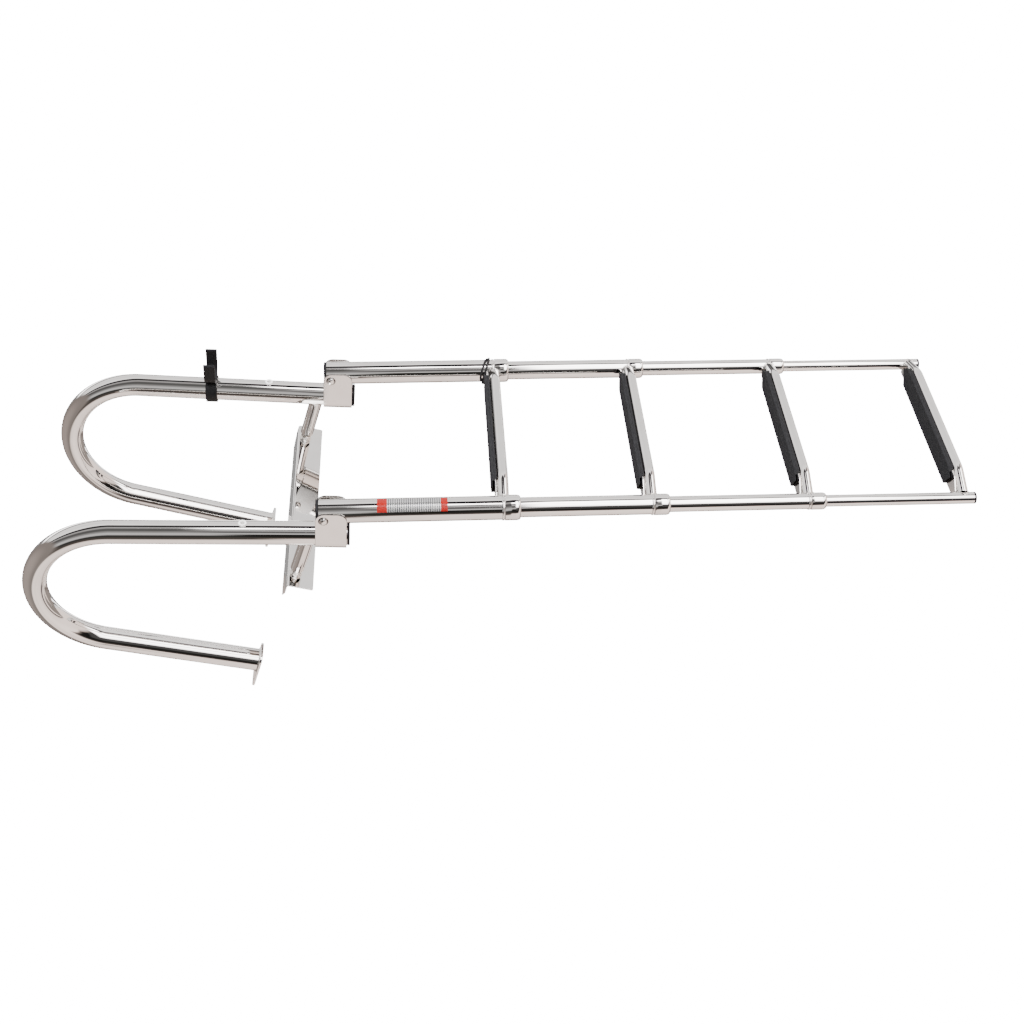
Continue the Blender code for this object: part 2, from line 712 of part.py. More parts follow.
# ---------------------------------------------------------------- the whole ladder
def main():
    for obj in list(bpy.data.objects):
        bpy.data.objects.remove(obj)

    root = make_empty("mounting_frame", LEG_FRAME)
    sections = [make_empty("fold_axis", LADDER_FRAME)]
    for index in range(1, len(TUBE_RADII)):
        sections.append(make_empty(f"slide_axis_{index + 1}", Matrix.Identity(4), sections[-1]))

    make_transom_bracket()
    for label, side in SIDES.items():
        foot = make_handrail(label, side)
        make_deck_flange(label, foot)
        make_handrail_cap(label, side, root)
        make_hinge_bracket(label, side, root)
        make_hinge_bolt(label, side, root)
        make_rest_grommet(label, side, root)
        make_strut(label, side)
    make_rail_clip(root)

    for index, parent in enumerate(sections):
        make_section(index, parent)
    for label, side in SIDES.items():
        make_stile_top_cap(label, side, sections[0])
        make_foot_cap(label, side, sections[-1])
    make_lanyard_loop(sections[0])
    bpy.context.view_layer.update()


main()
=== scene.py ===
import json
import math

import bmesh
import bpy
from mathutils import Matrix, Vector


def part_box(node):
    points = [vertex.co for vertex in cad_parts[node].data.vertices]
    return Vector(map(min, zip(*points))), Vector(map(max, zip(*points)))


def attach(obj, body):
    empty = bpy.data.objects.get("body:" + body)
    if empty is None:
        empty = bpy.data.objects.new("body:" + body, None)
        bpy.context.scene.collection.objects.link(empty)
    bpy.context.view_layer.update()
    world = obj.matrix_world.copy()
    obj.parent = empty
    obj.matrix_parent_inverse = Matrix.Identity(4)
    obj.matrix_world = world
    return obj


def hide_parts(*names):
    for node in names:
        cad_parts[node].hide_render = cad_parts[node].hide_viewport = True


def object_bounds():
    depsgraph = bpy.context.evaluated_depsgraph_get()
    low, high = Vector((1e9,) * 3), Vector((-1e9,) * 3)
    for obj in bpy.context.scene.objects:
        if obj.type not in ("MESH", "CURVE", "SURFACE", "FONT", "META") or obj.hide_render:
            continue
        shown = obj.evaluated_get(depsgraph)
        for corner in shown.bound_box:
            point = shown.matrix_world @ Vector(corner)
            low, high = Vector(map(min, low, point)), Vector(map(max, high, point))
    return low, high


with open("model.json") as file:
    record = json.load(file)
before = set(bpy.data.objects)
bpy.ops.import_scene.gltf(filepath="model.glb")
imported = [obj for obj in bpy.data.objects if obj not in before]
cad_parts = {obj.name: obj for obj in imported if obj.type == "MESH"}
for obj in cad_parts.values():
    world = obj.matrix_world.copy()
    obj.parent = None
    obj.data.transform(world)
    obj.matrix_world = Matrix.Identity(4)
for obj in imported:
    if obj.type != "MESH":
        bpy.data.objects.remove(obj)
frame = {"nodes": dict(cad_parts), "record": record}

# Metres, in the row frame: x across, -y outboard, z up, and the deck at z = 0.
# The member frames put x across, y outboard and z down along a member, from the fold axis.
CAD_BOX = [list(corner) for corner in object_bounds()]
JOINTS = {joint["name"]: joint for joint in frame["record"]["behaviour"]["joints"]}

# ---------------------------------------------------------------- driving dimensions
TUBE_RADII = (0.01905, 0.015875, 0.0127, 0.009525)
WALL = 0.0015
HALF_SPACING = 0.345 / 2
LEG_RAKE = math.radians(13.4)
LEG_SPLAY = math.radians(1.4)
RAIL_OFFSET = 0.046
PIVOT = Vector(JOINTS["fold"]["pos_m"])
LADDER_RAKE = math.asin(JOINTS["slide_2"]["axis"][1])

STILE_TOP = -0.0075
SECTION_ENDS = (0.3025, 0.535, 0.7815, 1.0215)
RUNG_LEVELS = (0.2765, 0.5075, 0.7545, 1.002)
SECTION_OVERLAP = 0.055
END_SETBACK = 0.0033
COLLAR_LENGTH = 0.0285
COLLAR_PROUD = 0.0011
CAP_RIM = 0.0045
PLUG_DEPTH = 0.012

RUNG_RADIUS = 0.009525
RUNG_SET_OUT = 0.018
RUNG_BEND_AT = 0.050
RUNG_BEND_RADIUS = 0.040
TREAD_BACK = -0.012
TREAD_FRONT = RUNG_SET_OUT + RUNG_RADIUS - 0.0005
TREAD_TOP = 0.0175
TREAD_HALF_WIDTH = 0.142
TREAD_PLATE_THICKNESS = 0.002

RAIL_BEND_RADIUS = 0.1264
RAIL_LEG_TO_BEND = 0.338
RAIL_LEG_LOW_END = 0.036
RAIL_REFERENCE_LEVEL = 0.012
FLANGE_THICKNESS = 0.004

HINGE_WALL = 0.0025
HINGE_INNER_RADIUS = 0.0200
HINGE_OUTER_RADIUS = HINGE_INNER_RADIUS + HINGE_WALL
HINGE_TOP = 0.0134
HINGE_LEVELS = (-0.0125, 0.0357)
BOLT_RADIUS = 0.003

STRUT_RADIUS = 0.0111
STRUT_HEIGHT = -0.011
STRUT_FOOT_LENGTH = 0.013
STRUT_WASHER_TOP = 0.0018

CLIP_LEVEL = -0.203
CLIP_WIDTH = 0.019
CLIP_WALL = 0.0035
GROMMET_LEVELS = {"left": -0.124, "right": -0.106}
LABEL_START, LABEL_END = 0.082, 0.190

SIDES = {"left": -1, "right": 1}
LAST = len(TUBE_RADII) - 1
DECK_LEAF = 0.038
TRANSOM_LEAF = 0.043
TRANSOM_Y = -0.0145
BRACKET_THICKNESS = 0.002

TUBE_SIDES = 72
SMALL_SIDES = 40

X_AXIS, Y_AXIS, Z_AXIS = Vector((1, 0, 0)), Vector((0, 1, 0)), Vector((0, 0, 1))
IN_PLACE = Matrix.Identity(4)
ACROSS = Matrix.Rotation(math.radians(90), 4, "Y")


def member_frame(rake):
    down = Vector((0, -math.sin(rake), -math.cos(rake)))
    matrix = Matrix((X_AXIS, down.cross(X_AXIS), down)).transposed().to_4x4()
    matrix.translation = PIVOT
    return matrix


LEG_FRAME = member_frame(LEG_RAKE)
LADDER_FRAME = member_frame(LADDER_RAKE)


def along(start, direction):
    """Matrix that puts local z along direction, with its origin at start."""
    return Matrix.Translation(start) @ Vector(direction).to_track_quat("Z", "Y").to_matrix().to_4x4()


def lifted(height):
    return Matrix.Translation((0, 0, height))


# ---------------------------------------------------------------- shader helpers
class Graph:
    """Adds and joins shader nodes in one node tree."""

    def __init__(self, tree, coordinates):
        self.tree = tree
        self.coordinates = self.node("TexCoord", {}).outputs[coordinates]

    def link(self, value, target):
        """Joins a socket to another, or sets a plain value on it."""
        if isinstance(value, bpy.types.NodeSocket):
            self.tree.links.new(value, target)
        else:
            target.default_value = value

    def node(self, kind, inputs, **settings):
        node = self.tree.nodes.new("ShaderNode" + kind)
        for key, value in settings.items():
            setattr(node, key, value)
        for target, value in inputs.items():
            self.link(value, node.inputs[target])
        return node

    def math(self, operation, first, second=0.0, third=0.0):
        return self.node("Math", {0: first, 1: second, 2: third}, operation=operation).outputs[0]

    def remap(self, value, low, high, from_low=0.3, from_high=0.7):
        ends = {"From Min": from_low, "From Max": from_high, "To Min": low, "To Max": high}
        return self.node("MapRange", {"Value": value, **ends}).outputs["Result"]

    def ramp(self, value, stops, interpolation="LINEAR"):
        node = self.node("ValToRGB", {"Fac": value})
        node.color_ramp.interpolation = interpolation
        elements = node.color_ramp.elements
        while len(elements) < len(stops):
            elements.new(1.0)
        for element, (position, colour) in zip(elements, stops):
            element.position = position
            element.color = (*colour, 1)
        return node.outputs["Color"]

    def mix(self, factor, *colours):
        """The first colour where factor is 0 and the second where it is 1."""
        first, second = [c if isinstance(c, bpy.types.NodeSocket) else (*c, 1) for c in colours]
        inputs = {"Factor": factor, "A": first, "B": second}
        return self.node("Mix", inputs, data_type="RGBA").outputs["Result"]


class Material(Graph):
    """The shader of one material."""

    def __init__(self, name):
        self.material = bpy.data.materials.new(name)
        self.material.use_nodes = True
        super().__init__(self.material.node_tree, "Object")

    def noise(self, scale, detail=3.0, vector=None, roughness=0.5):
        inputs = {"Scale": scale, "Detail": detail, "Roughness": roughness}
        return self.node("TexNoise", {"Vector": vector or self.coordinates, **inputs}).outputs["Fac"]

    def scaled(self, scale):
        return self.node("Mapping", {"Vector": self.coordinates, "Scale": scale}).outputs["Vector"]

    def bump(self, height, distance, **below):
        return self.node("Bump", {"Height": height, "Distance": distance, **below}).outputs["Normal"]

    def finish(self, **values):
        """Sets or links the inputs of the surface, and gives back the material."""
        surface = self.tree.nodes["Principled BSDF"]
        for key, value in values.items():
            self.link(value, surface.inputs[key.replace("_", " ")])
        return self.material


# ---------------------------------------------------------------- materials
def polished_steel(name, roughness=(0.025, 0.05), waves=0.00012, lengthwise=True, painted_edge_shade=False):
    """Mirror-polished stainless steel: faint waves, polishing lines and clouded roughness."""
    nodes = Material(name)
    tint = nodes.ramp(nodes.noise(22.0, 4.0), ((0.3, (0.80, 0.775, 0.755)), (0.7, (0.86, 0.845, 0.83))))
    # Painted shade: on the hinge plates the cut edges are painted near black, standing for their dark
    # reflection and contact shadow.
    if painted_edge_shade:
        tint = nodes.mix(cut_edge_shade_mask(nodes), tint, (0.10, 0.095, 0.09))
    line_scale = (1.0, 1.0, 0.03) if lengthwise else (0.03, 1.0, 1.0)
    lines = nodes.noise(900.0, 2.0, nodes.scaled(line_scale))
    normal = nodes.bump(nodes.noise(9.0, 1.0), waves)
    normal = nodes.bump(lines, 0.0000008, Normal=normal)
    roughness = nodes.remap(lines, *roughness)
    return nodes.finish(Base_Color=tint, Metallic=1.0, Roughness=roughness, Normal=normal)


def cut_edge_shade_mask(nodes):
    """1 where a surface faces local +y or along local z, as the hinge plates' cut edges do: where their
    painted shade goes.
    """
    normal = nodes.node("TexCoord", {}).outputs["Normal"]
    split = nodes.node("SeparateXYZ", {"Vector": normal}).outputs
    facing = nodes.math("MAXIMUM", split["Y"], nodes.math("ABSOLUTE", split["Z"]))
    return nodes.remap(facing, 0.0, 1.0, 0.35, 0.55)


def crosswise_steel(name):
    """Polished tube that lies across the ladder, with its polishing lines along it."""
    return polished_steel(name, lengthwise=False)


def bracket_steel(name):
    return polished_steel(name, roughness=(0.03, 0.06), waves=0.00006, lengthwise=False)


def satin_steel(name, painted_edge_shade=False):
    """Polished plate: softer than the tubes, with fine brushing across it."""
    return polished_steel(name, (0.08, 0.15), 0.00008, lengthwise=False, painted_edge_shade=painted_edge_shade)


def hinge_steel(name):
    """Polished plate whose cut edges are painted dark: painted shade and reflection along its edges."""
    return satin_steel(name, painted_edge_shade=True)


def weld_steel(name, shade=1.0):
    nodes = Material(name)
    cloud = nodes.noise(260.0, 3.0)
    # shade scales the whole tint; below 1 it is painted shade, as on the pivot washers.
    dark, light = (0.70 * shade, 0.67 * shade, 0.63 * shade), (0.90 * shade, 0.88 * shade, 0.86 * shade)
    tint = nodes.ramp(cloud, ((0.3, dark), (0.7, light)))
    roughness = nodes.remap(cloud, 0.14, 0.32)
    normal = nodes.bump(nodes.noise(700.0, 2.0), 0.0001)
    return nodes.finish(Base_Color=tint, Metallic=1.0, Roughness=roughness, Normal=normal)


def painted_shade_washer_steel(name):
    # Painted shade: weld steel at a quarter of its tone, standing for the dark ring of shade and reflection
    # round the bolt heads.
    return weld_steel(name, 0.25)


def black_moulding(name):
    """Black moulded plastic with a fine grain."""
    nodes = Material(name)
    cloud = nodes.noise(60.0, 5.0)
    tint = nodes.ramp(cloud, ((0.3, (0.004, 0.004, 0.005)), (0.7, (0.009, 0.009, 0.010))))
    roughness = nodes.remap(cloud, 0.45, 0.6)
    normal = nodes.bump(nodes.noise(2600.0, 2.0), 0.00006)
    return nodes.finish(Base_Color=tint, Specular_IOR_Level=0.2, Roughness=roughness, Normal=normal)


def tread_rubber(name):
    """Charcoal plastic with a fine sandy grain drawn out along the tread."""
    nodes = Material(name)
    speckle = nodes.noise(1500.0, 3.0, nodes.scaled((0.25, 1.0, 1.0)), 0.7)
    tint = nodes.ramp(speckle, ((0.32, (0.005, 0.005, 0.006)), (0.70, (0.022, 0.022, 0.024))))
    roughness = nodes.remap(nodes.noise(90.0, 4.0), 0.60, 0.78)
    normal = nodes.bump(speckle, 0.00022)
    return nodes.finish(Base_Color=tint, Specular_IOR_Level=0.14, Roughness=roughness, Normal=normal)


def nylon(name):
    nodes = Material(name)
    tint = nodes.ramp(nodes.noise(120.0, 3.0), ((0.3, (0.80, 0.80, 0.79)), (0.7, (0.90, 0.90, 0.89))))
    normal = nodes.bump(nodes.noise(1800.0, 2.0), 0.00004)
    return nodes.finish(Base_Color=tint, Roughness=0.32, Normal=normal)


def braided_cord(name):
    nodes = Material(name)
    weave = nodes.node("TexVoronoi", {"Scale": 1700.0, "Vector": nodes.coordinates}).outputs["Distance"]
    # Painted crease shade: the tone darkens into the grooves between the weave's bumps, over the cord's own
    # near-black.
    tint = nodes.ramp(weave, ((0.1, (0.014, 0.014, 0.015)), (0.6, (0.005, 0.005, 0.006))))
    return nodes.finish(Base_Color=tint, Roughness=0.75, Normal=nodes.bump(weave, -0.0003))


def label_film(name):
    """A printed film with red ends and plain dark ticks between them, along local z."""
    nodes = Material(name)
    red, white, ink = (0.24, 0.008, 0.006), (0.62, 0.62, 0.62), (0.16, 0.16, 0.17)
    first_tick, last_tick, repeats, ink_share = 0.14, 0.90, 32, 0.45
    height = nodes.node("SeparateXYZ", {"Vector": nodes.coordinates}).outputs["Z"]
    position = nodes.remap(height, 0.0, 1.0, 0.0, LABEL_END - LABEL_START)
    cycle = nodes.math("FRACT", nodes.remap(position, 0.0, repeats, 0.0, 1.0))
    ticks = nodes.ramp(cycle, ((0.0, ink), (ink_share, white)), "CONSTANT")
    middle = ((0.0, (0, 0, 0)), (first_tick, (1, 1, 1)), (last_tick, (0, 0, 0)))
    middle = nodes.ramp(position, middle, "CONSTANT")
    return nodes.finish(
        Base_Color=nodes.mix(middle, red, ticks),
        Metallic=nodes.remap(middle, 0.0, 0.85, 0.0, 1.0),
        Roughness=0.22,
        Specular_IOR_Level=0.3,
        Normal=nodes.bump(nodes.noise(400.0, 2.0), 0.00001),
    )


# ---------------------------------------------------------------- mesh helpers
def new_object(name, shape):
    """Puts a bmesh in the scene as an object, and frees it."""
    mesh = bpy.data.meshes.new(name)
    shape.to_mesh(mesh)
    shape.free()
    obj = bpy.data.objects.new(name, mesh)
    bpy.context.collection.objects.link(obj)
    return obj


def add_piece(
    name, shape, finish, body, place=IN_PLACE, replaces=(), slot="polished_steel", bevel=0.0, sharp=35
):
    """Adds a piece on a body, in place of the CAD nodes it stands for. finish makes its material."""
    bmesh.ops.recalc_face_normals(shape, faces=shape.faces)
    obj = new_object(name, shape)
    obj.data.shade_smooth()
    obj.data.materials.append(finish(name))
    obj.matrix_world = place
    if bevel:
        edge = obj.modifiers.new("edges", "BEVEL")
        edge.width = bevel
        edge.segments = 3
        edge.limit_method = "ANGLE"
        edge.angle_limit = math.radians(30)
        edge.harden_normals = True
    else:
        obj.data.set_sharp_from_angle(angle=math.radians(sharp))
    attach(obj, body)
    if replaces:
        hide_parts(*replaces)


def skinned(rings, closed=True):
    """A bmesh that joins each ring of points to the next. A ring of one point is a pole."""
    shape = bmesh.new()
    rings = [[shape.verts.new(point) for point in ring] for ring in rings]
    count = len(rings)
    for i in range(count if closed else count - 1):
        a, b = rings[i], rings[(i + 1) % count]
        if len(a) == 1 and len(b) == 1:
            continue
        size = max(len(a), len(b))
        for j in range(size):
            k = (j + 1) % size
            if len(a) == 1:
                shape.faces.new((a[0], b[j], b[k]))
            elif len(b) == 1:
                shape.faces.new((a[j], a[k], b[0]))
            else:
                shape.faces.new((a[j], a[k], b[k], b[j]))
    return shape


def circle(centre, first, second, radius, sides):
    """Points round a centre, in the plane of two unit vectors."""
    angles = [2 * math.pi * i / sides for i in range(sides)]
    return [centre + radius * (first * math.cos(angle) + second * math.sin(angle)) for angle in angles]


def turned(profile, sides=TUBE_SIDES, closed=True):
    """A bmesh turned about local z from (radius, height) points. A zero radius makes a point."""
    rings = []
    for radius, height in profile:
        rings.append(circle(Z_AXIS * height, X_AXIS, Y_AXIS, radius, sides if radius else 1))
    return skinned(rings, closed)


def rod(radius, length, sides=SMALL_SIDES):
    return turned([(0, 0), (radius, 0), (radius, length), (0, length)], sides, closed=False)


def pipe(path, tangents, side_axis, radius, end_plane=None):
    """An open-ended tube along a path in one plane, whose normal is side_axis."""
    skins = []
    for skin_radius in (radius, radius - WALL):
        rings = []
        for centre, tangent in zip(path, tangents):
            other = tangent.cross(side_axis).normalized()
            rings.append(circle(centre, side_axis, other, skin_radius, TUBE_SIDES))
        if end_plane:
            origin, normal = end_plane
            run = tangents[-1] / tangents[-1].dot(normal)
            rings[-1] = [point + run * (origin - point).dot(normal) for point in rings[-1]]
        skins.append(rings)
    return skinned(skins[0] + skins[1][::-1])


def closed_tube(points, radius_at, sides, axes_at):
    """A tube round a closed line. axes_at gives a ring's two axes from its point and tangent."""
    rings = []
    for i, point in enumerate(points):
        tangent = (points[(i + 1) % len(points)] - points[i - 1]).normalized()
        rings.append(circle(point, *axes_at(point, tangent), radius_at(i), sides))
    return skinned(rings)


def loop_tube(points, radius_at):
    """A closed tube through points that ring round their own middle."""
    centre = sum(points, Vector()) / len(points)

    def axes_at(point, tangent):
        other = tangent.cross(point - centre).normalized()
        return other.cross(tangent), other

    return closed_tube(points, radius_at, 12, axes_at)


def knot_tube(points, radius):
    """A closed tube through a knotted line, its rings turned against one fixed direction."""
    fixed = Vector((0.1, 0.2, 1))

    def axes_at(point, tangent):
        side = tangent.cross(fixed).normalized()
        return side, tangent.cross(side)

    return closed_tube(points, lambda i: radius, 10, axes_at)


def prism(outline, depth):
    shape = bmesh.new()
    low = [shape.verts.new((x, y, 0)) for x, y in outline]
    high = [shape.verts.new((x, y, depth)) for x, y in outline]
    shape.faces.new(low[::-1])
    shape.faces.new(high)
    for i in range(len(outline)):
        j = (i + 1) % len(outline)
        shape.faces.new((low[i], low[j], high[j], high[i]))
    return shape


def arc(centre, radius, start, end, steps):
    """Points on an arc, with its ends in degrees."""
    points = []
    for i in range(steps + 1):
        angle = math.radians(start + (end - start) * i / steps)
        points.append((centre[0] + radius * math.cos(angle), centre[1] + radius * math.sin(angle)))
    return points


def dome(radius, base, rise, steps):
    """(radius, height) points of a dome, from its rim to its pole."""
    angles = [math.pi / 2 * step / steps for step in range(steps)]
    below_pole = [(radius * math.cos(angle), base + rise * math.sin(angle)) for angle in angles]
    return below_pole + [(0, base + rise)]


def rounded_rectangle(low, high, radius, steps=12):
    corners = (
        ((high[0] - radius, high[1] - radius), 0),
        ((low[0] + radius, high[1] - radius), 90),
        ((low[0] + radius, low[1] + radius), 180),
        ((high[0] - radius, low[1] + radius), 270),
    )
    return [point for centre, start in corners for point in arc(centre, radius, start, start + 90, steps)]


def mirrored_outline(right):
    return right + [(-x, y) for x, y in right[::-1]]


def carve(shape, tool_shape, matrix=IN_PLACE, operation="DIFFERENCE"):
    """Cuts one bmesh with another by an exact Boolean and gives back the result as a bmesh."""
    objects = []
    for part, place in ((shape, IN_PLACE), (tool_shape, matrix)):
        bmesh.ops.recalc_face_normals(part, faces=part.faces)
        objects.append(new_object("carving", part))
        objects[-1].matrix_world = place
    step = objects[0].modifiers.new("cut", "BOOLEAN")
    step.operation = operation
    step.solver = "EXACT"
    step.object = objects[1]
    bpy.context.view_layer.update()
    evaluated = objects[0].evaluated_get(bpy.context.evaluated_depsgraph_get())
    result = bmesh.new()
    result.from_mesh(bpy.data.meshes.new_from_object(evaluated))
    for obj in objects:
        bpy.data.objects.remove(obj)
    return result


def saddle_loop(base, direction, radius, big_centre, big_axis, big_radius_at, steps=72):
    """Points where a small round tube meets the skin of a larger one."""
    direction = Vector(direction).normalized()
    first = direction.orthogonal().normalized()
    points = []
    for start in circle(base, first, direction.cross(first), radius, steps):
        offset = start - big_centre
        height = offset.dot(big_axis)
        flat = offset - big_axis * height
        run = direction - big_axis * direction.dot(big_axis)
        reach = big_radius_at(height)
        a, b, c = run.dot(run), 2 * flat.dot(run), flat.dot(flat) - reach * reach
        root = math.sqrt(max(b * b - 4 * a * c, 0))
        points.append(start + direction * ((root - b) / (2 * a)))
    return points


def weld_bead(points, size):
    """A bead along a closed line, with small even ripples."""
    ripple, every = 0.16, 3
    return loop_tube(points, lambda i: size * (1 - ripple * (i % every) / every))


# ---------------------------------------------------------------- grab rails
def rail_axes(side):
    up = Vector((side * math.sin(LEG_SPLAY), 0, -math.cos(LEG_SPLAY)))
    inward = Vector((-side * math.sin(LEG_SPLAY), -math.cos(LEG_SPLAY), 0))
    return up, (inward - up * inward.dot(up)).normalized()


def rail_reference(side):
    return Vector((side * HALF_SPACING, -RAIL_OFFSET, RAIL_REFERENCE_LEVEL))


def leg_point(side, level):
    up, _ = rail_axes(side)
    reference = rail_reference(side)
    return reference + up * ((level - reference.z) / up.z)


def rail_path(side, bend_steps=48):
    """Centre line of one grab rail in the row frame, from the hinge end to the deck."""
    up, inward = rail_axes(side)
    bend_start = rail_reference(side) + up * RAIL_LEG_TO_BEND
    centre = bend_start + inward * RAIL_BEND_RADIUS
    turn = math.pi - LEG_RAKE
    points = [leg_point(side, RAIL_LEG_LOW_END)]
    tangents = [up]
    for i in range(bend_steps + 1):
        angle = turn * i / bend_steps
        points.append(centre + RAIL_BEND_RADIUS * (up * math.sin(angle) - inward * math.cos(angle)))
        tangents.append(up * math.cos(angle) + inward * math.sin(angle))
    points = [LEG_FRAME @ point for point in points]
    tangents = [LEG_FRAME.to_3x3() @ tangent for tangent in tangents]
    drop = (points[-1].z - FLANGE_THICKNESS) / -tangents[-1].z
    points.append(points[-1] + tangents[-1] * drop)
    tangents.append(tangents[-1])
    side_axis = LEG_FRAME.to_3x3() @ up.cross(inward)
    return points, tangents, side_axis.normalized()


def make_handrail(label, side):
    points, tangents, side_axis = rail_path(side)
    deck_top = (Vector((0, 0, FLANGE_THICKNESS)), Z_AXIS)
    shape = pipe(points, tangents, side_axis, TUBE_RADII[0], deck_top)
    replaced = ("handrail_" + label,)
    add_piece("rail_tube_" + label, shape, polished_steel, "mounting_frame", IN_PLACE, replaced)
    return points[-1]


def make_deck_flange(label, foot):
    inboard, outboard, half_width, corner = 0.049, 0.026, 0.0225, 0.012
    hole_radius, hole_inboard, hole_across = 0.0027, 0.0375, 0.0125
    outline = rounded_rectangle((-half_width, -outboard), (half_width, inboard), corner)
    shape = prism(outline, FLANGE_THICKNESS)
    for x in (-hole_across, hole_across):
        place = Matrix.Translation((x, hole_inboard, -FLANGE_THICKNESS))
        shape = carve(shape, rod(hole_radius, 3 * FLANGE_THICKNESS), place)
    place = Matrix.Translation((foot.x, foot.y, 0))
    replaced = ("deck_flange_" + label,)
    name = "deck_flange_plate_" + label
    add_piece(name, shape, satin_steel, "mounting_frame", place, replaced, bevel=0.0006)

    bead = 0.0016
    centre = Vector((foot.x, foot.y, FLANGE_THICKNESS))
    line = circle(centre, X_AXIS, Y_AXIS, TUBE_RADII[0] + bead * 0.3, 72)
    add_piece("deck_flange_weld_" + label, weld_bead(line, bead), weld_steel, "mounting_frame")


def cap_shape(tube_radius, rim, spigot, fillet=0.0011):
    """A round cap that stands rim above a tube's cut end, on a spigot inside it."""
    bore, clearance = tube_radius - WALL - 0.0003, 0.0002
    profile = [(0, rim), (tube_radius * 0.5, rim)]
    profile += arc((tube_radius - fillet, rim - fillet), fillet, 90, 0, 6)
    profile += [(tube_radius, clearance), (bore, clearance), (bore, -spigot), (0, -spigot)]
    return turned(profile, closed=False)


def make_handrail_cap(label, side):
    place = LEG_FRAME @ along(leg_point(side, RAIL_LEG_LOW_END), -rail_axes(side)[0])
    shape = cap_shape(TUBE_RADII[0], CAP_RIM, PLUG_DEPTH)
    replaced = ("handrail_end_cap_" + label,)
    name = "rail_end_plug_" + label
    add_piece(name, shape, black_moulding, "mounting_frame", place, replaced, "black_plastic")


def make_hinge_bracket(label, side):
    low, high = HINGE_LEVELS
    inner, outer, top, width = HINGE_INNER_RADIUS, HINGE_OUTER_RADIUS, HINGE_TOP, high - low
    centre = (0, -RAIL_OFFSET)
    outline = [(-inner, top), (-outer, top)] + arc(centre, outer, 180, 360, 48)
    outline += [(outer, top), (inner, top)] + arc(centre, inner, 360, 180, 48)
    corner, reach, spare = 0.015, 0.1, 0.001
    cheek = arc((corner, top - corner), corner, 180, 90, 14)
    cheek += arc((width - corner, top - corner), corner, 90, 0, 14)
    cheek += [(width + spare, -reach), (-spare, -reach)]
    lay_along_x = Matrix(((0, 0, 1, -reach / 2), (0, 1, 0, 0), (1, 0, 0, 0), (0, 0, 0, 1)))
    shape = carve(prism(outline, width), prism(cheek[::-1], reach), lay_along_x, "INTERSECT")
    place = LEG_FRAME @ Matrix.Translation((side * HALF_SPACING, 0, low))
    replaced = ("hinge_bracket_" + label,)
    # hinge_steel paints the plate's cut edges dark: painted shade and reflection.
    add_piece("hinge_plate_" + label, shape, hinge_steel, "mounting_frame", place, replaced, bevel=0.0006)


def make_hinge_bolt(label, side):
    """A domed bolt on a dished washer, and a domed nut on the far side."""
    face, end = HINGE_OUTER_RADIUS, HINGE_OUTER_RADIUS + 0.004
    place = LEG_FRAME @ Matrix.Translation((side * HALF_SPACING, 0, 0)) @ ACROSS
    washer, washer_height, washer_rim, washer_slope = 0.0080, 0.0014, 0.0003, 0.0008
    head, head_height, head_rim, gap = 0.0062, 0.0040, 0.0006, 0.0001
    dish = -face - washer_height * 0.5
    profile = [(BOLT_RADIUS, -face), (washer, -face), (washer, -face - washer_rim)]
    profile += [(washer - washer_slope, -face - washer_height), (head + 2 * gap, dish), (BOLT_RADIUS, dish)]
    shape = turned(profile, SMALL_SIDES)
    # The washer's darkened steel is painted shade round the bolt head.
    add_piece("pivot_washer_" + label, shape, painted_shade_washer_steel, "mounting_frame", place)

    base, shank = dish - gap, BOLT_RADIUS - gap
    profile = [(0, end), (shank, end), (shank, base), (head, base)]
    rise = head_height - washer_height * 0.5 - head_rim
    profile += dome(head, base - head_rim, -rise, 12)
    shape = turned(profile, SMALL_SIDES, closed=False)
    replaced = ("hinge_bolt_" + label,)
    add_piece("pivot_bolt_" + label, shape, polished_steel, "mounting_frame", place, replaced)

    nut, nut_height, dome_height, chamfer = 0.0056, 0.0034, 0.0035, 0.0006
    profile = [(0, 0), (nut, 0), (nut, nut_height * 0.9), (nut - chamfer, nut_height)]
    profile += dome(nut - 1.5 * chamfer, nut_height, dome_height, 8)[1:]
    spare = 0.001
    hexagon = rod(nut + chamfer / 2, 0.011, 6)
    shape = carve(turned(profile, SMALL_SIDES, closed=False), hexagon, lifted(-spare), "INTERSECT")
    place = place @ lifted(face)
    replaced = ("hinge_nut_" + label,)
    add_piece("pivot_nut_" + label, shape, polished_steel, "mounting_frame", place, replaced, bevel=0.0002)


def make_rest_grommet(label, side):
    outer, hole, height, seat, fillet = 0.0065, 0.0033, 0.0025, 0.0022, 0.001
    profile = [(hole, -seat), (outer, -seat)]
    profile += arc((outer - fillet, height - fillet), fillet, 0, 90, 6)
    profile += arc((hole + fillet, height - fillet), fillet, 90, 180, 6)
    start = leg_point(side, GROMMET_LEVELS[label]) + Y_AXIS * TUBE_RADII[0]
    place = LEG_FRAME @ along(start, Y_AXIS)
    shape = turned(profile, SMALL_SIDES)
    replaced = ("rest_grommet_" + label,)
    add_piece("rest_ring_" + label, shape, nylon, "mounting_frame", place, replaced, "white_nylon")


